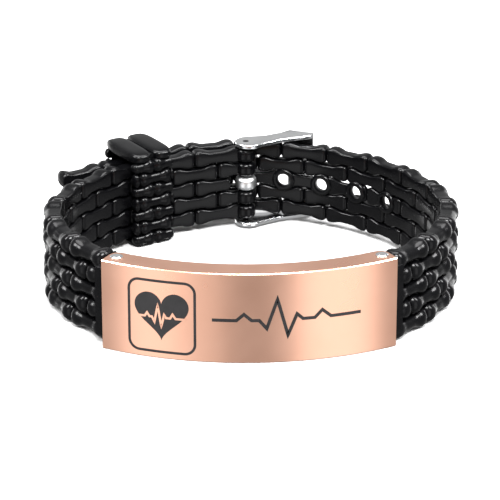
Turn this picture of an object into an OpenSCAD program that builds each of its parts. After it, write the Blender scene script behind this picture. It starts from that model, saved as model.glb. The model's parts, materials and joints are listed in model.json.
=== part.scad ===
// Medical alert bracelet: a curved metal identity plate, two straps of soft bone shaped links,
// a loose keeper and a small pin buckle, fastened and standing on its edge.
// Millimetres, +Z up. The plate faces -Y and the buckle lies behind it.

/* [Identity plate] */
// Height of the plate, across the wrist
plate_height = 14.3; // [10:0.1:20]
// Wall of the plate
plate_thickness = 3.9; // [3:0.1:6]
// Radius of the plate's outer face
plate_radius = 43.9; // [30:0.1:60]
// Distance between the two strap pins, across the plate
pin_span = 39.42; // [30:0.01:50]
// Bevel along the plate's long edges
plate_bevel = 0.15; // [0:0.05:0.8]
// Round at the inner corner of each end
plate_end_round = 1.3; // [0.5:0.1:1.8]
// Metal left above and below the strap pocket
lug_height = 1.3; // [0.8:0.1:3]

/* [Strap pins] */
// Radius of the pin's shaft
pin_radius = 0.6; // [0.4:0.05:0.9]
// Radius of the pin's domed head
pin_head_radius = 0.98; // [0.8:0.02:1.5]
// Height of the head above the plate
pin_head_rise = 0.3; // [0.1:0.05:0.8]
// Distance of the pin from the plate's end, along the plate
pin_inset = 1.45; // [1.2:0.05:3]
// Clearance between the pin and each hole
pin_clearance = 0.04; // [0.02:0.01:0.1]
// Clearance between the strap's end and its pocket
pocket_clearance = 0.15; // [0.1:0.05:0.4]

/* [Straps] */
// Length of one bone shaped link
link_pitch = 8.13; // [6:0.01:12]
// Height by which the plate is taller than the five rows of the strap
row_margin = 0.3; // [0:0.05:1]
// Thickness of the strap
strap_thickness = 3.0; // [2:0.1:4]
// Height by which the straps rise towards the buckle
back_rise = 0.35; // [0:0.05:2]
// Distance of each strap's inner face inside its route
strap_inset = 1.35; // [0.5:0.05:2.5]
// Distance between the last adjustment hole and the next
hole_pitch = 6.8; // [5:0.1:9]
// Place of the hole in use, in link lengths of 8.13 mm from the plate
used_hole = 8.77; // [6:0.01:10]
// Number of open adjustment holes
open_holes = 4; // [1:1:6]
// Radius of an adjustment hole
hole_radius = 1.05; // [0.6:0.05:1.5]
// Radius of the raised ring around each hole
ring_radius = 1.9; // [1.4:0.05:2.4]
// Height of the raised ring above the inner face
ring_rise = 0.4; // [0.1:0.05:0.8]
// Length of the strap that holds the buckle, in link lengths of 8.13 mm
buckle_strap_links = 8.05; // [6:0.05:10]
// Length of the strap with the holes, in link lengths of 8.13 mm
hole_strap_links = 13; // [10:0.5:14]
// Stretch that is pierced on the strap that holds the buckle, in link lengths
buckle_strap_pierced = 6; // [0:1:8]
// Stretch that is pierced on the strap with the holes, in link lengths
hole_strap_pierced = 9; // [0:1:12]
// Share of its thickness that the buckle strap loses at its roll
roll_thinning = 0.3; // [0:0.05:0.5]
// Thickness of the skin that closes the other gaps
web_thickness = 0.9; // [0.5:0.1:2]

/* [Keeper] */
// Place of the keeper on the buckle strap, in link lengths of 8.13 mm from the plate
keeper_place = 5.95; // [4:0.05:7]
// Length of the keeper along the strap
keeper_length = 7.6; // [4:0.1:12]
// Wall of the keeper on the wrist side and the outer side
keeper_wall = 1.1; // [0.8:0.1:2]
// Height of the keeper's solid top above its opening
keeper_top = 1.9; // [1:0.1:3]
// Clearance between the keeper and the straps
keeper_clearance = 0.2; // [0.1:0.05:0.6]
// Room for the bend of the straps inside the straight keeper
keeper_bow = 0.3; // [0.1:0.05:0.8]
// Rows of beads moulded on the keeper
keeper_rows = 7; // [3:1:9]
// Radius of those beads
keeper_bead_radius = 1.15; // [0.8:0.05:1.5]

/* [Buckle] */
// Clearance between each arm and the strap
buckle_clearance = 0.24; // [0.1:0.02:0.6]
// Thickness of each arm
arm_thickness = 0.7; // [0.5:0.05:1.5]
// Radius of the rounded end of the arms
arm_end_radius = 2.3; // [1.5:0.1:4]
// Width of the arms at their middle
arm_width = 2.9; // [1.5:0.1:5]
// Thickness of the end plate
end_plate_thickness = 0.9; // [0.5:0.05:1.5]
// Length of the end plate along the strap
end_plate_length = 4.4; // [2:0.1:8]
// Radius of the hinge bar
bar_radius = 0.45; // [0.3:0.05:0.8]
// Radius of the strap's roll around the hinge bar
roll_radius = 1.6; // [1.2:0.05:2]
// Radius of the prong's sleeve
sleeve_radius = 1.75; // [1.2:0.05:2.2]
// Height of the prong's sleeve
sleeve_height = 2.3; // [1.5:0.1:3]
// Height of the prong
prong_height = 1.4; // [0.8:0.1:1.8]
// Thickness of the prong
prong_thickness = 1.0; // [0.6:0.1:1.5]

/* [Build] */
// Piece to build, or all

/* [Hidden] */

ROWS = [1, 2, 3, 4, 5];
MIDDLE_ROW = 3;

// Rows of links fill the plate's height, and narrow to fit between the buckle's arms
row_pitch = (plate_height - row_margin) / len(ROWS);
strap_rows = len(ROWS) - 1 + 2 * 0.55;

// The buckle's frame is as tall as the plate
buckle_height = plate_height;
strap_taper = 1 - (buckle_height - 2 * arm_thickness - 2 * buckle_clearance) / (strap_rows * row_pitch);

// Plan of the ring: the straps and buckle are drawn from the pins, and the plate is set to the pins
strap_mid = plate_height / 2;
plate_inner_radius = plate_radius - plate_thickness;
plate_mid_radius = plate_radius - plate_thickness / 2;
pin_place = [pin_span / 2, 6.867];
pin_angle = asin(pin_place[0] / plate_mid_radius);
plate_half_angle = pin_angle + pin_inset / plate_mid_radius * 180 / PI;
curve_centre = pin_place[1] + plate_mid_radius * cos(pin_angle);
ring_centre_x = 0.61;
ring_back = 62.52;
ring_centre_y = (curve_centre - plate_radius + ring_back) / 2;
knuckle_radius = plate_thickness / 2 - 0.7;
pocket_radius = knuckle_radius + pocket_clearance;
pocket_low = lug_height;
pocket_high = plate_height - lug_height;

// Route of each strap, a little inside its outer face: start x, y and heading, then arcs of [steps, turn]
// Every place along a strap is counted in these steps, which are as long as the real link
route_step = 8.13;
step_links = route_step / link_pitch;
hole_start = [pin_place[0] + 1.19, pin_place[1] + 1.133, 42];
hole_route = [[1.5, 19.5], [2.75, 54], [1.5, 19], [2.75, 38], [1.2, 25.5], [1.3, 13.5], [0.7, 7],
    [1.3, -9]];
buckle_start = [pin_place[0] + 1.19, pin_place[1] + 2.433, 42.5];
buckle_route = [[1.5, 22], [2.25, 52.5], [1.25, 15], [1.5, 26], [1.6, 1]];
hole_strand_start = 0.03;
buckle_strand_start = -0.05;

// Form of a link: [place in the link, half height in row distances, thickness share]
LINK_FORM = [[0, 0.20, 0.66], [0.1, 0.44, 0.96], [0.25, 0.55, 1.0], [0.41, 0.28, 0.93],
    [0.59, 0.28, 0.93], [0.75, 0.55, 1.0], [0.9, 0.44, 0.96]];
// Cross section of a strand: [out from the inner face, share of the half height]
STRAND_SECTION = [[0, -0.94], [0.56, -1], [1, -0.42], [1, 0.42], [0.56, 1], [0, 0.94]];
hinge = [0.3, 55.8];
back_mid = strap_mid + back_rise;
end_plate_start = hinge + [7.0, 4.6];
end_plate_heading = -22;
prong_gap = 0.35;

// One arc of a route, followed for a number of steps
function arc_step(at, arc, steps) =
    let (turn = arc[1] * steps / arc[0])
    let (radius = arc[0] * route_step * 180 / (PI * arc[1]))
    [at[0] + radius * (sin(at[2] + turn) - sin(at[2])),
     at[1] + radius * (cos(at[2]) - cos(at[2] + turn)),
     at[2] + turn];

// Place and heading after a number of steps along a route
function walk(at, route, steps, i = 0) =
    i == len(route) - 1 || steps <= route[i][0]
        ? arc_step(at, route[i], steps)
        : walk(arc_step(at, route[i], route[i][0]), route, steps - route[i][0], i + 1);

// Share of the row distance kept at a number of steps from the plate
function width_share(steps) = 1 - strap_taper * min(max((steps - 2) / 6.6, 0), 1);

// Height of the strap's middle at a distance behind the plate
function rise(y) = strap_mid + back_rise * max(y, 0) / hinge[1];

// Point of a strap: outward distance from the inner face and rows above the middle
function strap_point(start, route, steps, out, rows) =
    let (p = walk(start, route, steps))
    let (across = out - strap_inset)
    let (up = rows * row_pitch * width_share(steps))
    [p[0] + across * sin(p[2]), p[1] - across * cos(p[2]), rise(p[1]) + up];

// Half height and thickness of a strand at a place in its link, read from the table
function form_at(place, column, i = 0) =
    let (a = LINK_FORM[i])
    let (b = i == len(LINK_FORM) - 1 ? [1, LINK_FORM[0][1], LINK_FORM[0][2]] : LINK_FORM[i + 1])
    place <= b[0] ? a[column] + (b[column] - a[column]) * (place - a[0]) / (b[0] - a[0])
        : form_at(place, column, i + 1);

// Fraction of a number above the whole number below it
function part_of(x) = x - floor(x);

// Places along a strand: its two ends and every station of the table between them
function stations(first, last, shift) = concat([first],
    [for (k = [floor(first) - 1:ceil(last)]) for (f = LINK_FORM)
        if (k + shift + f[0] > first + 0.03 && k + shift + f[0] < last - 0.03) k + shift + f[0]],
    [last]);

// One row of links as a closed tube of six sided sections, between two places in steps
module strand(start, route, row, first, last, thinning = 0) {
    shift = row % 2 == 1 ? 0 : 0.5;
    places = stations(first * step_links, last * step_links, shift);
    sides = len(STRAND_SECTION);
    count = len(places);
    points = [for (s = places) for (c = STRAND_SECTION)
        let (half = form_at(part_of(s - shift), 1))
        let (end_share = min(max((s / step_links - last + 0.8) / 0.6, 0), 1))
        let (thick = strap_thickness * form_at(part_of(s - shift), 2) * (1 - thinning * end_share))
        strap_point(start, route, s / step_links, c[0] * thick, MIDDLE_ROW - row + c[1] * half)];
    walls = [for (i = [0:count - 2]) for (j = [0:sides - 1]) for (t = [0, 1])
        let (a = i * sides + j)
        let (b = i * sides + (j + 1) % sides)
        t == 0 ? [a, b, a + sides] : [b, b + sides, a + sides]];
    caps = [[for (j = [0:sides - 1]) sides - 1 - j], [for (j = [0:sides - 1]) (count - 1) * sides + j]];
    polyhedron(points, concat(walls, caps), convexity = 8);
}

// Skin that closes the gaps between rows over a stretch of strap
module web(start, route, first, last) {
    steps = ceil((last - first) * 4);
    half = 2.1;
    low = 0.3 * strap_thickness;
    points = [for (i = [0:steps])
        let (s = first + (last - first) * i / steps)
        for (c = [[low, -half], [low + web_thickness, -half], [low + web_thickness, half], [low, half]])
            strap_point(start, route, s, c[0], c[1])];
    walls = [for (i = [0:steps - 1]) for (j = [0:3]) for (t = [0, 1])
        let (a = i * 4 + j)
        let (b = i * 4 + (j + 1) % 4)
        t == 0 ? [a, b, a + 4] : [b, b + 4, a + 4]];
    caps = [[3, 2, 1, 0], [for (j = [0:3]) steps * 4 + j]];
    polyhedron(points, concat(walls, caps), convexity = 4);
}

// Tab and knuckle that hold a strap on its plate pin
module strap_end(start) {
    low = pocket_low + pocket_clearance;
    tall = pocket_high - pocket_low - 2 * pocket_clearance;
    reach = pin_inset + 1.6;
    step = 0.2;
    translate([pin_place[0], pin_place[1], low]) {
        cylinder(h = tall, r = knuckle_radius, $fn = 24);
        rotate([0, 0, plate_half_angle])
            translate([0, -knuckle_radius * 0.8, step])
                cube([reach, knuckle_radius * 1.6, tall - 2 * step]);
    }
}

// Bore for a plate pin through a strap's knuckle
module knuckle_bore() {
    translate([pin_place[0], pin_place[1], 0])
        cylinder(h = plate_height, r = pin_radius + pin_clearance, $fn = 24);
}

// Turns its children to look outward at a place on the hole strap's middle row
module at_hole(links) {
    p = strap_point(hole_start, hole_route, links, 0, 0);
    h = walk(hole_start, hole_route, links)[2];
    translate(p)
        rotate([0, 0, h - 90])
            rotate([0, 90, 0])
                children();
}

// Strap with the holes, on the right
module hole_strap_form() {
    tail_web = hole_strap_pierced + 0.3;
    difference() {
        union() {
            for (row = ROWS)
                strand(hole_start, hole_route, row, hole_strand_start,
                    hole_strap_links - (row % 2 == 1 ? 0 : 0.5));
            web(hole_start, hole_route, tail_web, hole_strap_links - 0.75);
            strap_end(hole_start);
            for (k = [0:open_holes])
                at_hole(used_hole - k * hole_pitch / route_step)
                    ring_boss(k == 0 ? 0.02 : ring_rise);
        }
        knuckle_bore();
        for (k = [0:open_holes])
            at_hole(used_hole - k * hole_pitch / route_step)
                translate([0, 0, -2])
                    cylinder(h = strap_thickness + 4, r = hole_radius, $fn = 20);
    }
}

// Solid ring around a hole, which stands proud of the inner face by its rise
module ring_boss(rise_in) {
    translate([0, 0, -rise_in])
        cylinder(h = strap_thickness * 0.95 + rise_in, r = ring_radius, $fn = 24);
}

// Strap that holds the buckle, drawn on the right and mirrored
module buckle_strap_form() {
    mirrored_hinge = [-hinge[0], hinge[1]];
    rows_at_back = row_pitch * width_share(buckle_strap_links);
    roll = [mirrored_hinge[0], mirrored_hinge[1], back_mid];
    difference() {
        union() {
            for (row = ROWS)
                strand(buckle_start, buckle_route, row, buckle_strand_start,
                    row == MIDDLE_ROW ? buckle_strap_links - 0.45 : buckle_strap_links, roll_thinning);
            web(buckle_start, buckle_route, buckle_strap_pierced + 0.3, buckle_strap_links - 0.5);
            strap_end(buckle_start);
            for (row = ROWS)
                if (row != MIDDLE_ROW)
                    translate(roll + [0, 0, (MIDDLE_ROW - row) * rows_at_back])
                        roll_bead(rows_at_back * 1.02);
        }
        knuckle_bore();
        translate([mirrored_hinge[0], mirrored_hinge[1], -1])
            cylinder(h = plate_height + 4, r = bar_radius + pin_clearance, $fn = 20);
        translate([mirrored_hinge[0], mirrored_hinge[1], back_mid - sleeve_height / 2 - 0.1])
            cylinder(h = sleeve_height + 0.2, r = sleeve_radius + 0.25, $fn = 24);
    }
}

// One bead of the roll around the hinge bar
module roll_bead(tall) {
    edge = tall * 0.22;
    translate([0, 0, -tall / 2])
        cylinder(h = edge, r1 = roll_radius - edge, r2 = roll_radius, $fn = 20);
    translate([0, 0, edge - tall / 2])
        cylinder(h = tall - 2 * edge, r = roll_radius, $fn = 20);
    translate([0, 0, tall / 2 - edge])
        cylinder(h = edge, r1 = roll_radius, r2 = roll_radius - edge, $fn = 20);
}

// Straight stroke between two points, with square ends cut at its joints by rounds
module stroke(a, b, line) {
    way = b - a;
    translate(a)
        rotate([0, 0, atan2(way[1], way[0])])
            translate([0, -line / 2])
                square([norm(way), line]);
    translate(a)
        circle(r = line / 2, $fn = 16);
    translate(b)
        circle(r = line / 2, $fn = 16);
}

// Ring sector with the plate's centre of curvature, between two radii
module plate_sector(inner, outer, low, high, bevel) {
    translate([0, curve_centre, 0])
        rotate([0, 0, -90 - plate_half_angle])
            rotate_extrude(angle = 2 * plate_half_angle, $fn = 180)
                polygon([[inner, low], [outer - bevel, low], [outer, low + bevel], [outer, high - bevel],
                    [outer - bevel, high], [inner, high]]);
}

// Corner of the plate's right end that the inner round takes away
module end_corner() {
    back = plate_half_angle - plate_end_round / plate_inner_radius * 180 / PI;
    radius = plate_inner_radius + plate_end_round;
    centre = [radius * sin(back), curve_centre - radius * cos(back)];
    translate([centre[0], centre[1], -1])
        rotate([0, 0, plate_half_angle])
            difference() {
                cube([plate_end_round * 2, plate_end_round * 2, plate_height + 2]);
                translate([0, 0, -1])
                    cylinder(h = plate_height + 4, r = plate_end_round, $fn = 48);
            }
}

// Pocket, bores and head seat at the plate's right end
module end_pocket() {
    translate([pin_place[0], pin_place[1], pocket_low]) {
        rotate([0, 0, 180 + plate_half_angle])
            cylinder(h = pocket_high - pocket_low, r = pocket_radius, $fn = 48);
        rotate([0, 0, plate_half_angle])
            translate([0, -pocket_radius * 0.9, 0])
                cube([4, pocket_radius * 1.8, pocket_high - pocket_low]);
    }
    translate([pin_place[0], pin_place[1], -1])
        cylinder(h = plate_height + 2, r = pin_radius + pin_clearance, $fn = 48);
    translate([pin_place[0], pin_place[1], plate_height - lug_height / 2])
        cylinder(h = lug_height, r = pin_head_radius + pin_clearance, $fn = 48);
}

module plate_pin() {
    foot = 0.25;
    translate([pin_place[0], pin_place[1], foot])
        cylinder(h = plate_height - foot, r = pin_radius, $fn = 48);
    translate([pin_place[0], pin_place[1], plate_height - lug_height / 2 + pin_clearance])
        cylinder(h = lug_height / 2 - pin_clearance + pin_head_rise * 0.6, r = pin_head_radius, $fn = 48);
    translate([pin_place[0], pin_place[1], plate_height + pin_head_rise * 0.6 - 0.01])
        cylinder(h = pin_head_rise * 0.4, r1 = pin_head_radius, r2 = pin_head_radius * 0.75, $fn = 48);
}

// Arm of the buckle frame, seen from above
module arm_plan() {
    end = end_plate_start + end_plate_length * [cos(end_plate_heading), sin(end_plate_heading)];
    out = [-sin(end_plate_heading), cos(end_plate_heading)];
    difference() {
        union() {
            translate(hinge + [0.5, 0])
                circle(r = arm_end_radius, $fn = 64);
            polygon([hinge + [0.9, -arm_end_radius * 0.98], hinge + [5.7, 0.7], [end[0] - 0.6, end[1] - 0.5],
                end, end + end_plate_thickness * out, end_plate_start + end_plate_thickness * out,
                hinge + [5.7, arm_width + 1.2], hinge + [3.3, 2.8], hinge + [0.2, arm_end_radius * 0.99]]);
        }
        translate(hinge)
            circle(r = bar_radius + pin_clearance, $fn = 48);
    }
}

// End plate of the buckle frame, seen from above
module end_plate_plan() {
    translate(end_plate_start)
        rotate([0, 0, end_plate_heading])
            square([end_plate_length, end_plate_thickness]);
}

// Prong seen from above: sleeve, hook through the strap and blade over the end plate
module prong_plan() {
    out = [-sin(end_plate_heading), cos(end_plate_heading)];
    over = end_plate_start + (end_plate_thickness + prong_gap + prong_thickness / 2) * out;
    tip = over + 0.8 * end_plate_length * [cos(end_plate_heading), sin(end_plate_heading)];
    bend = [hinge[0] + 0.1, over[1] - 1.3];
    stroke(hinge, bend, prong_thickness);
    stroke(bend, [bend[0] + 2.2, over[1] - 0.2], prong_thickness);
    stroke([bend[0] + 2.2, over[1] - 0.2], over, prong_thickness);
    stroke(over, tip, prong_thickness);
}

// Loop of the keeper, drawn along X about its own middle on the right and mirrored
module keeper_form() {
    rows = row_pitch * width_share(keeper_place);
    open_width = 2 * strap_thickness + 0.45 + 2 * keeper_clearance + keeper_bow;
    open_low = strap_mid + back_rise * 0.9 - 2 * rows - 0.5 * rows - keeper_clearance;
    open_high = strap_mid + back_rise * 0.9 + 2 * rows + 0.51 * rows + keeper_clearance;
    outer_width = open_width + 2 * keeper_wall;
    top = open_high + keeper_top;
    inner = strap_point(buckle_start, buckle_route, keeper_place, 0, 0);
    heading = walk(buckle_start, buckle_route, keeper_place)[2];
    bead_pitch = (top - 1.6) / keeper_rows;
    groove = 0.9;
    translate([inner[0], inner[1], 0])
        rotate([0, 0, heading])
            translate([0, -open_width / 2 + keeper_clearance + keeper_bow, 0])
                difference() {
                    union() {
                        translate([-keeper_length / 2, -outer_width / 2, 0])
                            cube([keeper_length, outer_width, top]);
                        for (k = [0:keeper_rows - 1])
                            for (side = [-1, 1])
                                for (half = k % 2 == 0 ? [-0.25, 0.25] : [0])
                                    translate([half * keeper_length, side * (outer_width / 2 - 0.55),
                                        keeper_bead_radius + k * bead_pitch])
                                        rotate([0, 90, 0])
                                            cylinder(h = keeper_length * (half == 0 ? 1 : 0.47),
                                                r = keeper_bead_radius, center = true, $fn = 32);
                    }
                    translate([-keeper_length, -open_width / 2, open_low])
                        cube([2 * keeper_length, open_width, open_high - open_low]);
                    translate([0, 0, top])
                        rotate([45, 0, 90])
                            cube([2 * outer_width, groove, groove], center = true);
                }
}

module id_plate() {
    color([0.79, 0.52, 0.42])
        difference() {
            plate_sector(plate_inner_radius, plate_radius, 0, plate_height, plate_bevel);
            for (side = [0, 1])
                mirror([side, 0, 0]) {
                    end_corner();
                    end_pocket();
                }
        }
}

module plate_pin_left() {
    color([0.8, 0.8, 0.82])
        mirror([1, 0, 0])
            plate_pin();
}

module plate_pin_right() {
    color([0.8, 0.8, 0.82])
        plate_pin();
}

module buckle_strap() {
    color([0.05, 0.05, 0.055])
        mirror([1, 0, 0])
            buckle_strap_form();
}

module hole_strap() {
    color([0.05, 0.05, 0.055])
        hole_strap_form();
}

module keeper() {
    color([0.05, 0.05, 0.055])
        mirror([1, 0, 0])
            keeper_form();
}

module buckle_frame() {
    low = back_mid - buckle_height / 2;
    color([0.8, 0.8, 0.82]) {
        translate([0, 0, low])
            linear_extrude(height = arm_thickness)
                arm_plan();
        translate([0, 0, low + buckle_height - arm_thickness])
            linear_extrude(height = arm_thickness)
                arm_plan();
        translate([0, 0, low])
            linear_extrude(height = buckle_height)
                end_plate_plan();
    }
}

module buckle_bar() {
    recess = 0.2;
    color([0.8, 0.8, 0.82])
        translate([hinge[0], hinge[1], back_mid - buckle_height / 2 + recess])
            cylinder(h = buckle_height - 2 * recess, r = bar_radius, $fn = 48);
}

module buckle_prong() {
    color([0.8, 0.8, 0.82])
        difference() {
            union() {
                translate([hinge[0], hinge[1], back_mid - sleeve_height / 2])
                    cylinder(h = sleeve_height, r = sleeve_radius, $fn = 48);
                translate([0, 0, back_mid - prong_height / 2])
                    linear_extrude(height = prong_height)
                        prong_plan();
            }
            translate([hinge[0], hinge[1], back_mid - sleeve_height])
                cylinder(h = 2 * sleeve_height, r = bar_radius + pin_clearance, $fn = 48);
        }
}

// Moves the ring so that its outline is centred on the origin
module placed() {
    translate([-ring_centre_x, -ring_centre_y, 0])
        children();
}

placed() id_plate();
placed() plate_pin_left();
placed() plate_pin_right();
placed() buckle_strap();
placed() hole_strap();
placed() keeper();
placed() buckle_frame();
placed() buckle_bar();
placed() buckle_prong();
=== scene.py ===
# %% [markdown]
# A medical alert bracelet stands on its edge, fastened. A curved rose gold plate faces the viewer,
# two black rubber straps of bone shaped links run behind it, and a keeper and a steel pin buckle
# hold them together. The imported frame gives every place. This lesson dresses it: soft parts are
# drawn again as smooth surfaces, and the metal parts keep their places and get their finish.

import json
import math

import bmesh
import bpy
import numpy as np
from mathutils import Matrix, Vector

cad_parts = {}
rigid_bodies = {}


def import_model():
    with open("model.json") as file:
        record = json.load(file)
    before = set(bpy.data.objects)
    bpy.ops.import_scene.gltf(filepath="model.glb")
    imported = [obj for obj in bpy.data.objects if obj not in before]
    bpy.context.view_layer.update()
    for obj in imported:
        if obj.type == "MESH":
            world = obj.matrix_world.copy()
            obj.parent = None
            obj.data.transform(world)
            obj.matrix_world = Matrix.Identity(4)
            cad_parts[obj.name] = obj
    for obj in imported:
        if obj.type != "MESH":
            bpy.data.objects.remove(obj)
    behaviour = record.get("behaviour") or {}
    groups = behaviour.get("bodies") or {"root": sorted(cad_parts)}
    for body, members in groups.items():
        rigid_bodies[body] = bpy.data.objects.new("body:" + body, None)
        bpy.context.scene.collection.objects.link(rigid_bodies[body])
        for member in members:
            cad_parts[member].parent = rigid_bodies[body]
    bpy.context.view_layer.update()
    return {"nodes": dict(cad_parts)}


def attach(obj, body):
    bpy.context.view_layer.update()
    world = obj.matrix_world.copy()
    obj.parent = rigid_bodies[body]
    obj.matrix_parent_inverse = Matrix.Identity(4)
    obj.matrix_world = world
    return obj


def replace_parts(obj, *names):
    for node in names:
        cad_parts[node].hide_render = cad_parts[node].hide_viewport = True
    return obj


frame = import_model()
print("nodes", sorted(frame["nodes"]))

# %% [markdown]
# Colours are easier to choose as the hex values of a paint chart, but a shader works in linear
# light, so one function turns them. Another adds a node and sets or links its sockets. A third makes
# a finish from them: real surfaces drift a little in colour and gloss, and carry a fine grain.


# %% Colour and node helpers
def linear(hex_colour):
    """Linear RGBA of an sRGB hex colour: c / 12.92 when dark, else ((c + 0.055) / 1.055) ^ 2.4."""
    c = np.array([int(hex_colour[i:i + 2], 16) for i in (1, 3, 5)]) / 255
    return (*np.where(c <= 0.04045, c / 12.92, ((c + 0.055) / 1.055) ** 2.4).tolist(), 1.0)


def add(tree, kind, inputs=None, **settings):
    """Adds a node. An input that is a socket is linked, and any other value is set."""
    node = tree.nodes.new(kind)
    for key, value in settings.items():
        setattr(node, key, value)
    for key, value in (inputs or {}).items():
        if isinstance(value, bpy.types.NodeSocket):
            tree.links.new(value, node.inputs[key])
        else:
            node.inputs[key].default_value = value
    return node


# The noise seldom leaves this range, so colour and roughness are spread over it.
NOISE_LOW, NOISE_HIGH = 0.3, 0.7


def finish(name, dark, light, patch_mm, rough, grain_mm, grain_depth_mm, stretch=(1, 1, 1), **sockets):
    """A finish whose colour drifts from dark to light over patches, with a fine bumped grain.

    The patches are noise of that size, and the roughness runs from rough[0] to rough[1] with them.
    The grain is finer noise, drawn out where a wheel has polished, and lifts the surface by its depth.
    """
    material = bpy.data.materials.new(name)
    material.use_nodes = True
    tree = material.node_tree
    shader = tree.nodes["Principled BSDF"]
    for key, value in sockets.items():
        shader.inputs[key.replace("_", " ")].default_value = value
    place = add(tree, "ShaderNodeTexCoord").outputs["Object"]
    patches = add(tree, "ShaderNodeTexNoise", {"Vector": place, "Scale": 1000 / patch_mm, "Detail": 3.0})
    colour = add(tree, "ShaderNodeValToRGB", {"Fac": patches.outputs["Fac"]})
    colour.color_ramp.elements[0].position = NOISE_LOW
    colour.color_ramp.elements[0].color = linear(dark)
    colour.color_ramp.elements[1].position = NOISE_HIGH
    colour.color_ramp.elements[1].color = linear(light)
    tree.links.new(colour.outputs["Color"], shader.inputs["Base Color"])
    spread = add(tree, "ShaderNodeMapRange", {"Value": patches.outputs["Fac"],
                                              "From Min": NOISE_LOW, "From Max": NOISE_HIGH,
                                              "To Min": rough[0], "To Max": rough[1]})
    tree.links.new(spread.outputs["Result"], shader.inputs["Roughness"])
    drawn = add(tree, "ShaderNodeMapping", {"Vector": place, "Scale": stretch})
    grain = add(tree, "ShaderNodeTexNoise", {"Vector": drawn.outputs["Vector"], "Scale": 1000 / grain_mm,
                                             "Detail": 2.0})
    bump = add(tree, "ShaderNodeBump", {"Height": grain.outputs["Fac"], "Strength": 1.0,
                                        "Distance": grain_depth_mm / 1000})
    tree.links.new(bump.outputs["Normal"], shader.inputs["Normal"])
    print("finish", name)
    return material


# %% [markdown]
# Six finishes cover the object. Five are named for what the real one is and how its surface was made, and
# the hinge bar's is painted shade.
# Real grain is under 0.1 mm, so it is drawn coarse enough to show.

# %% Finishes
# Stainless steel with a thin rose gold plating, polished with a fine wheel along its length: a soft
# mirror whose reflections are drawn out along the plate.
ROSE_GOLD = finish("rose_gold_plated_steel", "#E4B097", "#EAB8A0", patch_mm=9, rough=(0.27, 0.31),
                   grain_mm=0.22, grain_depth_mm=0.0003, stretch=(0.12, 0.12, 1), Metallic=1.0)
# Polished stainless steel, for the buckle's frame and the pins: bright, with almost sharp reflections.
STEEL = finish("polished_stainless_steel", "#DEDFE1", "#EBECED", patch_mm=4, rough=(0.16, 0.22),
               grain_mm=0.3, grain_depth_mm=0.0005, Metallic=1.0)
# Stainless steel left satin by tumbling, for the prong: one broad pale shine.
SATIN_STEEL = finish("satin_stainless_steel", "#E4E5E7", "#EFF0F1", patch_mm=4, rough=(0.30, 0.36),
                     grain_mm=0.3, grain_depth_mm=0.0005, Metallic=1.0)
# Dull near black for the hinge bar, painted as shade: it lies deep in the sleeve, and this colour stands in
# for the shade there, so it shows as a dull dark core.
HINGE_BAR_PAINTED_SHADE = finish("hinge_bar_painted_shade", "#0C0C0D", "#131314", patch_mm=2, rough=(0.7, 0.8),
                   grain_mm=0.2, grain_depth_mm=0.001, Specular_IOR_Level=0.08)
# Silicone rubber from a smooth mould: deep black, with a small soft shine on the crown of each link.
RUBBER = finish("moulded_silicone_rubber", "#030304", "#060607", patch_mm=3, rough=(0.20, 0.25),
                grain_mm=0.4, grain_depth_mm=0.0003, Specular_IOR_Level=0.17)
# Black enamel that fills the engraved marks: almost black and rather dull against the plate.
ENAMEL = finish("black_enamel_fill", "#0B0A0B", "#141214", patch_mm=1.5, rough=(0.4, 0.5),
                grain_mm=0.25, grain_depth_mm=0.002)

# %% [markdown]
# New pieces are grids of points. Numbers are in millimetres with the middle of the plate's outer
# face as the first origin, as on a drawing of the ring, and one function moves them to the frame.

# %% Grids and meshes
RING_CENTRE = np.array([0.61, 31.26, 0.0])


def grid_faces(rows, columns, wrap_rows, wrap_columns):
    """Quads of a grid of points, with the last row or column joined to the first where it wraps."""
    r = np.arange(rows if wrap_rows else rows - 1)[:, None]
    c = np.arange(columns if wrap_columns else columns - 1)[None, :]
    r2, c2 = (r + 1) % rows, (c + 1) % columns
    corners = [r * columns + c, r * columns + c2, r2 * columns + c2, r2 * columns + c]
    return np.stack(corners, -1).reshape(-1, 4)


def tube(points):
    """Closed tube from rows of points: quads between the rows, and a fan to the middle of each end."""
    rows, columns = points.shape[:2]
    ends = np.stack([points[0].mean(0), points[-1].mean(0)])
    j = np.arange(columns)
    k = (j + 1) % columns
    last = (rows - 1) * columns
    near = np.stack([np.full(columns, rows * columns), k, j], 1)
    far = np.stack([np.full(columns, rows * columns + 1), last + j, last + k], 1)
    quads = grid_faces(rows, columns, False, True)
    return np.vstack([points.reshape(-1, 3), ends]), quads, np.vstack([near, far])


def hoop(points):
    """Closed grid that wraps both ways, such as a ring."""
    return points.reshape(-1, 3), grid_faces(*points.shape[:2], True, True), np.zeros((0, 3), int)


def build(name, shapes, material, mirrored=False, sharp=50):
    """One object from several closed shapes, moved to the frame, with its faces turned outwards.

    A mirrored piece has its x turned over first. Edges wider than the sharp angle stay sharp.
    """
    vertices, faces, start = [], [], 0
    for points, quads, triangles in shapes:
        vertices.append(points)
        faces += (quads + start).tolist() + (triangles + start).tolist()
        start += len(points)
    points = np.vstack(vertices) * ((-1, 1, 1) if mirrored else (1, 1, 1))
    mesh = bpy.data.meshes.new(name)
    mesh.from_pydata(((points - RING_CENTRE) / 1000).tolist(), [], faces)
    work = bmesh.new()
    work.from_mesh(mesh)
    bmesh.ops.recalc_face_normals(work, faces=work.faces)
    work.to_mesh(mesh)
    work.free()
    mesh.polygons.foreach_set("use_smooth", np.ones(len(mesh.polygons), bool))
    mesh.set_sharp_from_angle(angle=math.radians(sharp))
    mesh.materials.append(material)
    piece = bpy.data.objects.new(name, mesh)
    bpy.context.scene.collection.objects.link(piece)
    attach(piece, "root")
    triangle_count = sum(len(p.vertices) - 2 for p in mesh.polygons)
    print(name, len(mesh.vertices), "points,", triangle_count, "triangles")
    return piece


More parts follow.
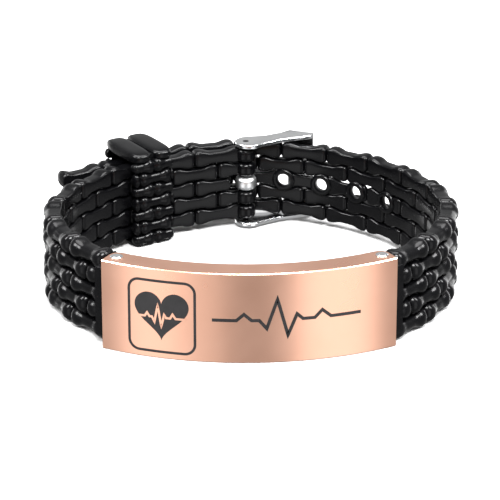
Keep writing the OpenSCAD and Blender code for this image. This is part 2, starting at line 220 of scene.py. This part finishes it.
# %% [markdown]
# Camera and light come first, so that every piece can be looked at as it is made. The photograph's
# camera stands 22 degrees above the table, far away with a long lens, so the near and far sides of
# the ring come out almost the same size. The floor is pale. The plate mirrors two tall soft cards at
# its left and right with a darker gap between them, and a faint third card softens the gap's edge.
# Cards at the back light the straps' far sides, and softboxes above draw the shine on the links and
# on the buckle.

# %% Camera
# The place is in metres, and the heading and the downward tilt are in radians.
CAMERA_PLACE = Vector((-0.007964, -0.431267, 0.180986))
CAMERA_YAW, CAMERA_PITCH = 0.0183, 0.3866
LENS_MM, SENSOR_MM = 213.53, 36.0
view = bpy.data.cameras.new("photo_camera")
view.lens, view.sensor_width = LENS_MM, SENSOR_MM
camera = bpy.data.objects.new("photo_camera", view)
camera.location = CAMERA_PLACE
camera.rotation_euler = Vector((
    math.sin(CAMERA_YAW) * math.cos(CAMERA_PITCH), math.cos(CAMERA_YAW) * math.cos(CAMERA_PITCH),
    -math.sin(CAMERA_PITCH))).to_track_quat("-Z", "Y").to_euler()
bpy.context.scene.collection.objects.link(camera)
bpy.context.scene.camera = camera

# %% Light and floor
ROOM_STRENGTH = 0.42
FLOOR_HALF = 2
bpy.context.scene.view_settings.view_transform = "Standard"
bpy.context.scene.view_settings.look = "None"
world = bpy.data.worlds.new("studio")
world.use_nodes = True
world.node_tree.nodes["Background"].inputs["Color"].default_value = (1.0, 1.0, 1.0, 1.0)
world.node_tree.nodes["Background"].inputs["Strength"].default_value = ROOM_STRENGTH
bpy.context.scene.world = world


def soft_light(name, azimuth, elevation, distance, size, power):
    """Rectangular light aimed at the ring, placed by azimuth and elevation in degrees.

    Azimuth 0 is in front of the plate, and right is positive. The direction is (sin a cos e,
    -cos a cos e, sin e). Distance and size are in metres, and power is in watts.
    """
    lamp = bpy.data.lights.new(name, "AREA")
    lamp.shape, lamp.size, lamp.size_y, lamp.energy = "RECTANGLE", size[0], size[1], power
    a, e = math.radians(azimuth), math.radians(elevation)
    way = Vector((math.sin(a) * math.cos(e), -math.cos(a) * math.cos(e), math.sin(e)))
    thing = bpy.data.objects.new(name, lamp)
    thing.location = way * distance
    thing.rotation_euler = (-way).to_track_quat("-Z", "Y").to_euler()
    bpy.context.scene.collection.objects.link(thing)


soft_light("left_card", -40, -8, 0.5, (0.22, 0.5), 0.46)
soft_light("left_fade_card", -18, -8, 0.5, (0.14, 0.5), 0.15)
soft_light("right_card", 36, -8, 0.5, (0.30, 0.5), 0.70)
soft_light("left_back_card", -142, 0, 0.6, (0.3, 0.5), 0.9)
soft_light("right_back_card", 142, 0, 0.6, (0.3, 0.5), 0.9)
soft_light("top_softbox", 6, 52, 0.7, (0.30, 0.20), 12.0)
soft_light("left_softbox", -75, 44, 0.7, (0.16, 0.3), 6.0)
soft_light("right_softbox", 75, 44, 0.7, (0.16, 0.3), 6.0)
soft_light("back_softbox", 178, 78, 0.7, (0.6, 0.4), 9.0)
soft_light("back_card", 180, 22, 0.8, (0.9, 0.45), 0.15)

floor_mesh = bpy.data.meshes.new("studio_floor")
floor_corners = [(-FLOOR_HALF, -FLOOR_HALF, 0), (FLOOR_HALF, -FLOOR_HALF, 0),
                 (FLOOR_HALF, FLOOR_HALF, 0), (-FLOOR_HALF, FLOOR_HALF, 0)]
floor_mesh.from_pydata(floor_corners, [], [(0, 1, 2, 3)])
floor = bpy.data.objects.new("studio_floor", floor_mesh)
bpy.context.scene.collection.objects.link(floor)
floor_mesh.materials.append(finish("white_paper_sweep", "#B8B8B8", "#BCBCBC", patch_mm=40,
                                   rough=(0.85, 0.95), grain_mm=1.0, grain_depth_mm=0.001))
# The cards reach below the table, so the floor neither hides them in the plate nor holds their light.
floor.visible_glossy = False
floor.visible_shadow = False

# %% [markdown]
# Each strap is five rows of little bones moulded side by side. A row is a tube whose height and
# thickness swell and shrink along its length: two round ends that meet in a sharp crease, with a
# waist between. Odd rows have their creases at whole links and even rows at half links, so the
# waists leave slim gaps. The straps' inner face is flat. Both follow the frame's own routes.

# %% Routes of the straps
# A link's length, the distance between rows and the thickness of a strap.
LINK, ROW, THICK = 8.13, 2.8, 3.0
# The rows draw together by this share, from one place in links and over so many links.
TAPER, TAPER_FROM, TAPER_OVER = 0.13, 2, 6.6
# Rows are numbered 1 to 5 from the top.
MIDDLE_ROW = 3
# Height of the middle row at the plate, and what it rises by to the back of the ring.
MID, BACK_RISE = 7.15, 0.35
# From a route's line in to the strap's inner face.
INSET = 1.35
HINGE = np.array([0.3, 55.8])
# A start is x, y and a heading. A route is arcs, each with its length in links and turn in degrees.
HOLE_START = (20.9, 8.0, 42.0)
HOLE_ROUTE = ((1.5, 19.5), (2.75, 54), (1.5, 19), (2.75, 38), (1.2, 25.5), (1.3, 13.5), (0.7, 7), (1.3, -9))
BUCKLE_START = (20.9, 9.3, 42.5)
BUCKLE_ROUTE = ((1.5, 22), (2.25, 52.5), (1.25, 15), (1.5, 26), (1.6, 1))


def walk(start, route, links):
    """Place and heading along arcs: x grows by r (sin b - sin a) and y by r (cos a - cos b) per arc."""
    links = np.asarray(links, float)
    x, y, heading = start
    out = np.zeros((3, *links.shape))
    done = 0.0
    for i, (length, turn) in enumerate(route):
        radius = length * LINK / math.radians(turn)
        a = math.radians(heading)
        here = links >= done if i else np.ones(links.shape, bool)
        b = a + math.radians(turn) * (links - done) / length
        arc = np.stack([x + radius * (np.sin(b) - math.sin(a)), y + radius * (math.cos(a) - np.cos(b)), b])
        out = np.where(here, arc, out)
        b = a + math.radians(turn)
        x, y, heading = (x + radius * (math.sin(b) - math.sin(a)), y + radius * (math.cos(a) - math.cos(b)),
                         heading + turn)
        done += length
    return out


def width_share(links):
    """Share of the row distance kept: it falls evenly from 1 at link 2 to 1 - taper at link 8.6."""
    return 1 - TAPER * np.clip((np.asarray(links) - TAPER_FROM) / TAPER_OVER, 0, 1)


def strap_point(start, route, links, out, rows):
    """Points at a distance out from the strap's inner face and a number of rows above its middle."""
    x, y, b = walk(start, route, links)
    z = MID + BACK_RISE * np.maximum(y, 0) / HINGE[1] + rows * ROW * width_share(links)
    from_line = out - INSET
    return np.stack(np.broadcast_arrays(x + from_line * np.sin(b), y - from_line * np.cos(b), z), -1)


# %% The bone form
# Places along half a link, close together near the crease, where the form turns most.
BONE_STEPS = np.array([0, .008, .02, .035, .055, .08, .11, .14, .17, .2, .235, .27, .31, .35, .39, .43,
                       .47, .5])
# A row cut across: shares of its thickness and half height. The inner face is flat with small
# roundings, and the outer face is nearly half an ellipse.
ARC = np.radians(np.linspace(90, -90, 15))[1:-1]
SECTION = np.array(
    [(0.0, -0.68), (0.0, 0.0), (0.0, 0.68), (0.012, 0.79), (0.045, 0.885), (0.095, 0.96), (0.16, 1.0),
     (0.34, 1.0), (0.54, 1.0)]
    + list(zip(0.54 + 0.46 * np.cos(ARC), np.sign(np.sin(ARC)) * np.abs(np.sin(ARC)) ** 0.95))
    + [(0.54, -1.0), (0.34, -1.0), (0.16, -1.0), (0.095, -0.96), (0.045, -0.885), (0.012, -0.79)])


def bone_form(u):
    """Half height in rows, thickness share and lift of the flat face in mm, u links from a crease.

    With arc(e) = sqrt(1 - ((e - u) / e)^2) as a bone's round end, the height is 0.22 + 0.33 arc(0.11),
    the thickness 0.60 + 0.40 arc(0.165) and the lift 0.6 - 0.6 arc(0.07). Beyond the round ends they
    fall along a cosine to the waist: to a height of 0.38 and a thickness of 0.86.
    """
    def arc(e):
        return np.sqrt(np.clip(1 - ((e - np.minimum(u, e)) / e) ** 2, 0, 1))

    def fall(start, over):
        return 0.5 + 0.5 * np.cos(np.pi * np.clip((u - start) / over, 0, 1))

    half = np.where(u < 0.11, 0.22 + 0.33 * arc(0.11), 0.38 + 0.17 * fall(0.13, 0.25))
    thick = np.where(u < 0.165, 0.60 + 0.40 * arc(0.165), 0.86 + 0.14 * fall(0.18, 0.2))
    return half, thick, 0.6 - 0.6 * arc(0.07)


# In links: the length of a rounded end, and how near to an end the next place may be.
TIP, NEAR = 0.1, 0.004


def strand(start, route, row, first, last, thinning=0.0, rounded=False, share=1.0):
    """One row of bones, 1 at the top to 5, as a tube between two places in links from the plate.

    Thinning takes that share of the thickness at the far end, between 0.8 and 0.2 links before it, and
    rounded closes it with a quarter ellipse. The last share scales the whole thickness.
    """
    shift = 0.0 if row % 2 else 0.5
    link = np.concatenate([BONE_STEPS, 1 - BONE_STEPS[-2:0:-1]])
    s = (np.arange(math.floor(first) - 1, math.ceil(last) + 1)[:, None] + link).ravel() + shift
    end = last - TIP * np.cos(np.radians(np.linspace(0, 90, 7))) if rounded else [last]
    s = np.concatenate([[first], s[(s > first + NEAR) & (s < last - (TIP if rounded else NEAR))], end])
    half, thick, lift = bone_form(np.abs((s - shift + 0.5) % 1 - 0.5))
    thick = share * THICK * thick * (1 - thinning * np.clip((s - last + 0.8) / 0.6, 0, 1))
    if rounded:
        close = np.sqrt(np.clip(1 - np.clip((s - last + TIP) / TIP, 0, 1) ** 2, 0.02, 1))
        half, thick = half * close, thick * (0.5 + 0.5 * close)
    out = lift[:, None] + SECTION[:, 0] * (thick - lift)[:, None]
    rows = MIDDLE_ROW - row + SECTION[:, 1] * half[:, None]
    return tube(strap_point(start, route, s[:, None], out, rows))


# %% [markdown]
# The strap with the holes has round eyelets moulded on its middle row. A collar stands round each
# hole, and the row stops on both sides of it, so the hole is a real opening. Between the open holes
# the row is only a thin web on the inner side, which lets light through the holes at a slant. Round
# the pin in the plate's pocket, each strap ends in a plain tongue.

# %% The hole strap
HOLE_LINKS = 12.93
HOLE_PITCH = 6.8
HOLES = 8.77 - HOLE_PITCH / LINK * np.arange(5)
# The middle row stops this many links short of a hole's middle on both sides.
HOLE_GAP = 0.16
# The ring's profile: radius, and distance out from the strap's inner face.
EYELET = np.array([(1.05, 0.25), (1.15, 0.05), (1.4, 0.0), (1.65, 0.05), (1.85, 0.2), (1.9, 0.5),
                   (1.9, 1.3), (1.8, 1.4), (1.5, 1.45), (1.25, 1.4), (1.08, 1.2)])
# The collars of the open holes stand this far out of the inner face.
COLLAR_RISE = 0.4
# Share of the thickness that the web between them keeps.
WEB = 0.42
# The plate's outer radius, the circle of its pins, and their angle from the middle in degrees.
PLATE_R, PIN_CIRCLE, PIN_ANGLE = 43.9, 41.95, 28.02
# The tongue's heading in degrees, half its width, and its reach past the pin in half widths.
TONGUE_HEADING, TONGUE_HALF, TONGUE_REACH = 30.0, 1.2, 2.6
# Its outline is narrower at the ends of its height, which rounds them.
TONGUE_SHARES = np.array([0.7, 0.9, 1.0, 1.0, 0.9, 0.7])
TONGUE_HEIGHTS = np.array([1.48, 1.55, 1.75, 12.55, 12.75, 12.82])
# Both straps' rows start in the pocket, at these places in links.
HOLE_ROWS_START, BUCKLE_ROWS_START = 0.03, -0.05


def eyelet(links, rise):
    """Ring turned about a hole's axis, its profile set inwards by the rise.

    A point is the hole's middle, plus r cos(turn) along the strap, r sin(turn) up, and its distance out.
    """
    x, y, b = walk(HOLE_START, HOLE_ROUTE, links)
    turn = np.linspace(0, 2 * np.pi, 40, endpoint=False)[:, None]
    r, out = EYELET[:, 0], EYELET[:, 1] - rise - INSET
    z = float(strap_point(HOLE_START, HOLE_ROUTE, links, 0, 0)[2])
    along = r * np.cos(turn)
    return hoop(np.stack(np.broadcast_arrays(
        x + along * np.cos(b) + out * np.sin(b), y + along * np.sin(b) - out * np.cos(b),
        z + r * np.sin(turn)), -1))


def tongue():
    """Half circle round the plate pin with straight sides along the strap, carried up the pocket.

    With p as the outline times its share at a height, a point is the pin plus p turned to the heading.
    """
    pin = np.array([PIN_CIRCLE * math.sin(math.radians(PIN_ANGLE)),
                    PLATE_R - PIN_CIRCLE * math.cos(math.radians(PIN_ANGLE))])
    a = np.radians(TONGUE_HEADING)
    turn = np.radians(np.linspace(90, 270, 17))
    half = np.stack([np.cos(turn), np.sin(turn)], 1)
    outline = np.vstack([half, [(TONGUE_REACH, -1.0), (TONGUE_REACH, 1.0)]])
    p = outline[None] * TONGUE_SHARES[:, None, None] * TONGUE_HALF
    x = pin[0] + p[..., 0] * np.cos(a) - p[..., 1] * np.sin(a)
    y = pin[1] + p[..., 0] * np.sin(a) + p[..., 1] * np.cos(a)
    return tube(np.stack(np.broadcast_arrays(x, y, TONGUE_HEIGHTS[:, None]), -1))


hole_parts = [tongue()]
for row in (1, 2, 4, 5):
    tail = HOLE_LINKS - (0 if row % 2 else 0.5)
    hole_parts.append(strand(HOLE_START, HOLE_ROUTE, row, HOLE_ROWS_START, tail, rounded=True))
stops = [HOLE_ROWS_START, *np.sort(np.concatenate([HOLES - HOLE_GAP, HOLES + HOLE_GAP])), HOLE_LINKS]
for first, last in zip(stops[::2], stops[1::2]):
    hole_parts.append(strand(HOLE_START, HOLE_ROUTE, MIDDLE_ROW, first, last, rounded=last == HOLE_LINKS,
                             share=WEB if 1 < first < HOLES[0] else 1.0))
hole_parts += [eyelet(links, 0.0 if i == 0 else COLLAR_RISE) for i, links in enumerate(HOLES)]
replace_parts(build("hole_strap_links", hole_parts, RUBBER), "hole_strap")

# %% [markdown]
# The other strap ends in a roll: its rows curl round the buckle's hinge bar, and each shows as a
# short barrel. The middle row stops short to leave room for the prong's sleeve.

# %% The buckle strap
BUCKLE_LINKS = 8.05
BACK_MID = MID + BACK_RISE
BACK_ROW = ROW * (1 - TAPER * (BUCKLE_LINKS - TAPER_FROM) / TAPER_OVER)
BARREL_R = 1.6
# The middle row stops this many links short of the others, and a barrel is a little taller than a row.
ROLL_GAP, BARREL_SHARE = 0.28, 1.01


def barrel(z, tall):
    """Barrel round the hinge: with h from -1 to 1 up it, its radius is R (0.25 + 0.75 sqrt(1 - h^4))."""
    h = np.sin(np.radians(np.linspace(-88, 88, 21)))
    r = BARREL_R * (0.25 + 0.75 * (1 - np.abs(h) ** 4) ** 0.5)
    turn = np.linspace(0, 2 * np.pi, 40, endpoint=False)
    return tube(np.stack(np.broadcast_arrays(
        -HINGE[0] + r[:, None] * np.cos(turn), HINGE[1] + r[:, None] * np.sin(turn),
        (z + h * tall / 2)[:, None]), -1))


buckle_parts = [tongue()]
for row in (1, 2, 3, 4, 5):
    roll = BUCKLE_LINKS - (ROLL_GAP if row == MIDDLE_ROW else 0)
    buckle_parts.append(strand(BUCKLE_START, BUCKLE_ROUTE, row, BUCKLE_ROWS_START, roll, thinning=0.3,
                               rounded=row == MIDDLE_ROW))
    if row != MIDDLE_ROW:
        buckle_parts.append(barrel(BACK_MID + (MIDDLE_ROW - row) * BACK_ROW, BACK_ROW * BARREL_SHARE))
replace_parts(build("buckle_strap_links", buckle_parts, RUBBER, mirrored=True), "buckle_strap")

# %% [markdown]
# The keeper is a loose loop with the same bones in low relief on both broad sides, and two rounded
# bars across its top and its foot.

# %% The keeper
KEEPER_LINKS, KEEPER_LONG = 5.95, 7.6
KEEPER_ROW = ROW * float(width_share(KEEPER_LINKS))
# It holds both straps, the gap between them, the play at both sides and the bend of the straps.
KEEPER_OPEN = 2 * THICK + 0.45 + 2 * 0.2 + 0.3
# Both its walls with their relief, its play over and under the rows, and the height of its top bars.
KEEPER_WALLS, KEEPER_PLAY, KEEPER_BAR = 2.2, 0.2, 1.9
KEEPER_WIDE = KEEPER_OPEN + KEEPER_WALLS
KEEPER_MID = MID + BACK_RISE * 0.9
KEEPER_LOW = KEEPER_MID - 2.5 * KEEPER_ROW - KEEPER_PLAY
KEEPER_HIGH = KEEPER_MID + 2.51 * KEEPER_ROW + KEEPER_PLAY
KEEPER_TOP = KEEPER_HIGH + KEEPER_BAR
# The relief: its rows, the lowest one's height, a bone's length, the places of the creases, its
# thickness, how deep it is sunk, and the length of its rounded ends.
RELIEF_ROWS, RELIEF_FOOT, RELIEF_BONE = 7, 1.15, 5.7
RELIEF_CREASES = (0.05, -2.6)
RELIEF_THICK, RELIEF_SUNK, RELIEF_END = 1.45, 0.85, 0.7
RELIEF_PITCH = (KEEPER_TOP - 1.6) / RELIEF_ROWS
# The plain core behind the relief: half its length, how far it lies in, and its foot's height.
CORE_HALF, CORE_INSET, CORE_FOOT = 2.8, 0.6, 0.35
# The two bars: their distance from the middle, and half their width.
BAR_PLACE, BAR_HALF = 1.93, 1.87


def keeper_point(along, across, z):
    """Keeper coordinates (along the strap, towards the wrist, up) to the drawing's."""
    x, y, b = walk(BUCKLE_START, BUCKLE_ROUTE, KEEPER_LINKS)
    across = across - KEEPER_OPEN / 2 + 0.5 + INSET
    return np.stack(np.broadcast_arrays(
        x + along * np.cos(b) - across * np.sin(b), y + along * np.sin(b) + across * np.cos(b), z), -1)


def relief_row(z, crease, side):
    """Row of bones on a broad side: the bone form again, 1.45 mm thick and 0.85 mm of it sunk in.

    Over the last 0.7 mm of each end it closes by a quarter ellipse, sqrt(1 - e^2).
    """
    v = np.linspace(-1, 1, 61)
    v = KEEPER_LONG / 2 * np.sin(v * np.pi / 2)
    half, thick, _ = bone_form(np.abs(((v - crease) / RELIEF_BONE + 0.5) % 1 - 0.5))
    e = np.clip(np.abs(v) - KEEPER_LONG / 2 + RELIEF_END, 0, RELIEF_END) / RELIEF_END
    close = np.sqrt(np.clip(1 - e ** 2, 0.03, 1))
    deep = RELIEF_THICK * thick * (0.3 + 0.7 * close)
    out = KEEPER_WIDE / 2 - RELIEF_SUNK + SECTION[:, 0] * deep[:, None]
    up = z + SECTION[:, 1] * (half * close)[:, None] * RELIEF_PITCH
    return tube(keeper_point(v[:, None], side * out, up))


def rounded_bar(centre, size, power=0.55):
    """Superellipsoid: each cosine and sine of a sphere is raised to a power, which squares it off."""
    a, b = np.radians(np.linspace(-89, 89, 25))[:, None], np.radians(np.arange(0, 360, 7.5))[None, :]

    def soft(t):
        return np.sign(t) * np.abs(t) ** power

    x = size[0] * soft(np.cos(a)) * soft(np.cos(b))
    z = size[2] * soft(np.cos(a)) * soft(np.sin(b))
    y = size[1] * soft(np.sin(a)) * np.ones_like(b)
    return tube(keeper_point(centre[0] + x, centre[1] + y, centre[2] + z))


core_high = KEEPER_TOP - CORE_INSET
core_out = np.array([(-1, CORE_FOOT), (1, CORE_FOOT), (1, core_high), (-1, core_high)])
core_in = np.array([(-1, KEEPER_LOW), (1, KEEPER_LOW), (1, KEEPER_HIGH), (-1, KEEPER_HIGH)])
core_out[:, 0] *= KEEPER_WIDE / 2 - CORE_INSET
core_in[:, 0] *= KEEPER_OPEN / 2
core = np.stack([np.stack([np.full(4, v), loop[:, 0], loop[:, 1]], -1) for v, loop in (
    (-CORE_HALF, core_out), (CORE_HALF, core_out), (CORE_HALF, core_in), (-CORE_HALF, core_in))])
keeper_parts = [hoop(keeper_point(core[..., 0], core[..., 1], core[..., 2]))]
for k in range(RELIEF_ROWS):
    for side in (-1, 1):
        keeper_parts.append(relief_row(RELIEF_FOOT + k * RELIEF_PITCH, RELIEF_CREASES[k % 2], side))
for end in (-1, 1):
    keeper_parts.append(rounded_bar((end * BAR_PLACE, 0, (KEEPER_HIGH + KEEPER_TOP) / 2),
                                    (BAR_HALF, KEEPER_WIDE / 2 + 0.4, (KEEPER_TOP - KEEPER_HIGH) / 2)))
    keeper_parts.append(rounded_bar((end * BAR_PLACE, 0, KEEPER_LOW / 2),
                                    (BAR_HALF, KEEPER_WIDE / 2 + 0.3, KEEPER_LOW / 2)))
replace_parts(build("keeper_loop", keeper_parts, RUBBER, mirrored=True), "keeper")

# %% [markdown]
# The plate, its pins and the hinge bar keep the frame's own meshes, because their shape is plain
# turned and milled metal. They only need their finish, put in their material slots; the hinge bar's is
# painted shade, a near black that stands in for the shade in the sleeve.

# %% Metal parts from the frame
for name, material in (("id_plate", ROSE_GOLD), ("plate_pin_left", STEEL), ("plate_pin_right", STEEL),
                       ("buckle_bar", HINGE_BAR_PAINTED_SHADE)):
    node = frame["nodes"][name]
    for part in [node, *node.children_recursive]:
        if part.type == "MESH":
            for place in range(max(1, len(part.data.materials))):
                if part.data.materials:
                    part.data.materials[place] = material
                else:
                    part.data.materials.append(material)

# %% [markdown]
# The buckle's frame and prong are stamped and tumbled, so every edge is round and catches a bright
# line. A copy of the frame's mesh is merged, its flat faces are joined, and its edges are bevelled.

# %% The buckle
# Radius of the prong's sleeve, and one just wider than the bore round the bar, in millimetres.
SLEEVE_R, BORE_LIMIT = 1.75, 0.6


def tumbled(name, node_name, material, radius_mm, rim_mm=0):
    """Copy of a frame node with its edges wider than 35 degrees rounded by a bevel of that radius.

    The rims of the prong's sleeve, at 1.75 mm from the hinge, are rounded more. The bore round the
    hinge bar keeps its sharp edge.
    """
    mesh = bpy.data.meshes.new(name)
    work = bmesh.new()
    work.from_mesh(frame["nodes"][node_name].data)
    bmesh.ops.remove_doubles(work, verts=work.verts, dist=2e-6)
    bmesh.ops.dissolve_limit(work, angle_limit=math.radians(0.5), verts=work.verts, edges=work.edges)
    axis = Vector(((HINGE - RING_CENTRE[:2]) / 1000).tolist())
    if rim_mm:
        rims = [e for e in work.edges if len(e.link_faces) == 2 and e.calc_face_angle(0) > math.radians(60)
                and all(abs((v.co.xy - axis).length - SLEEVE_R / 1000) < 2e-5 for v in e.verts)
                and abs(e.verts[0].co.z - e.verts[1].co.z) < 1e-5]
        bmesh.ops.bevel(work, geom=rims, offset=rim_mm / 1000, segments=5, profile=0.5, affect="EDGES")
    edges = [e for e in work.edges if len(e.link_faces) == 2 and e.calc_face_angle(0) > math.radians(35)
             and not all((v.co.xy - axis).length < BORE_LIMIT / 1000 for v in e.verts)]
    bmesh.ops.bevel(work, geom=edges, offset=radius_mm / 1000, segments=3, profile=0.5, affect="EDGES",
                    clamp_overlap=True)
    bmesh.ops.triangulate(work, faces=work.faces)
    work.to_mesh(mesh)
    work.free()
    mesh.polygons.foreach_set("use_smooth", np.ones(len(mesh.polygons), bool))
    mesh.set_sharp_from_angle(angle=math.radians(40))
    mesh.materials.append(material)
    piece = bpy.data.objects.new(name, mesh)
    bpy.context.scene.collection.objects.link(piece)
    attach(piece, "root")
    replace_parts(piece, node_name)
    print(name, len(mesh.polygons), "triangles")


tumbled("buckle_frame_tumbled", "buckle_frame", STEEL, 0.2)
tumbled("buckle_prong_tumbled", "buckle_prong", SATIN_STEEL, 0.18, 0.8)

# %% [markdown]
# The plate carries plain marks: a rounded square with a heart in it, and a heartbeat line. On the
# real one they are engraved and filled with black. Here each is a thin closed ribbon laid on the
# curved face, bent with it: a distance u along the face is an angle u / R round the plate's axis.

# %% The marks
# Width of a line, and how far a mark stands out of the face and reaches into it.
LINE, PROUD, SUNK = 0.4, 0.03, 0.05
# A sharp corner's mitre grows no longer than 1 / 0.35 of half the width.
MITRE_LIMIT = 0.35


def on_face(u, z, out):
    """Drawing point at u along the face and z up: x = r sin(u / R), y = R - r cos(u / R)."""
    r = PLATE_R + out
    return np.stack(np.broadcast_arrays(r * np.sin(u / PLATE_R), PLATE_R - r * np.cos(u / PLATE_R), z), -1)


def ribbon(path, closed, width=LINE, proud=PROUD):
    """Band of that width along a path of (u, z), each corner mitred by the mean of its two sides."""
    path = np.asarray(path, float)
    step = np.roll(path, -1, 0) - path
    if not closed:
        step[-1] = step[-2]
    step /= np.linalg.norm(step, axis=1, keepdims=True)
    before = np.roll(step, 1, 0)
    if not closed:
        before[0] = step[0]
    side = np.stack([-(step + before)[:, 1], (step + before)[:, 0]], 1)
    side /= np.linalg.norm(side, axis=1, keepdims=True)
    normal = np.stack([-step[:, 1], step[:, 0]], 1)
    side /= np.clip((side * normal).sum(1, keepdims=True), MITRE_LIMIT, 1)
    left, right = path + side * width / 2, path - side * width / 2
    points = np.stack([on_face(*left.T, proud), on_face(*right.T, proud), on_face(*right.T, -SUNK),
                       on_face(*left.T, -SUNK)], 1)
    return hoop(points) if closed else tube(points)


def filled(outline, centre, proud=PROUD):
    """Closed disc: rings shrink from the outline to its centre on the front, and again on the back."""
    outline, centre = np.asarray(outline, float), np.asarray(centre, float)
    share = np.concatenate([np.linspace(0.02, 1, 9), np.linspace(1, 0.02, 9)])
    out = np.concatenate([np.full(9, proud), np.full(9, -SUNK)])
    points = centre + (outline - centre)[None] * share[:, None, None]
    return tube(on_face(points[..., 0], points[..., 1], out[:, None]))


def dense(points, step=0.35):
    """Same polyline with points added so that no stretch is longer than the step."""
    points = np.asarray(points, float)
    parts = [np.linspace(a, b, max(1, round(float(np.hypot(*(b - a))) / step)), endpoint=False)
             for a, b in zip(points[:-1], points[1:])]
    return np.vstack([*parts, points[-1:]])


EMBLEM = np.array([-13.3, 6.75])
# One heartbeat, over a length of 1 and a height of 1.
BEAT = np.array([(0, 0), (.16, 0), (.21, .3), (.26, 0), (.31, 0), (.36, -.4), (.43, 1), (.5, -.75),
                 (.56, .25), (.6, 0), (.68, 0), (.73, .35), (.79, 0), (1, 0)])
BEAT_LONG, BEAT_TALL, BEAT_MIDDLE = 22.5, 3.3, (5.6, 6.9)
SMALL_LONG, SMALL_TALL = 7.6, 1.9
# The rounded square: half its straight sides, and the radius of its corners.
SQUARE_U, SQUARE_Z, SQUARE_R = 3.5, 4.05, 1.6
HEART_SCALE = 0.262

corner = np.radians(np.arange(0, 91, 10))
square_corners = ((1, 1, 0), (-1, 1, np.pi / 2), (-1, -1, np.pi), (1, -1, 1.5 * np.pi))
square = np.vstack([np.stack([su * SQUARE_U + SQUARE_R * np.cos(corner + t),
                              sz * SQUARE_Z + SQUARE_R * np.sin(corner + t)], 1)
                    for su, sz, t in square_corners])
square = dense(np.vstack([square, square[:1]]))[:-1] + EMBLEM
# The heart curve: u = 16 sin^3 t, z = 13 cos t - 5 cos 2t - 2 cos 3t - cos 4t, lifted to its middle.
t = np.linspace(0, 2 * np.pi, 96, endpoint=False)
heart_z = 13 * np.cos(t) - 5 * np.cos(2 * t) - 2 * np.cos(3 * t) - np.cos(4 * t) + 2.5
heart = np.stack([16 * np.sin(t) ** 3, heart_z], 1) * HEART_SCALE + EMBLEM
pulse = dense(BEAT * (BEAT_LONG, BEAT_TALL) + (BEAT_MIDDLE[0] - BEAT_LONG / 2, BEAT_MIDDLE[1]))
marks = [ribbon(square, True), filled(heart, EMBLEM), ribbon(pulse, False, width=0.5)]
build("engraved_marks", marks, ENAMEL, sharp=30)
small = dense(BEAT * (SMALL_LONG, SMALL_TALL) + EMBLEM - (SMALL_LONG / 2, 0.1))
build("emblem_pulse", [ribbon(small, False, width=0.34, proud=0.06)], ROSE_GOLD,
      sharp=30)
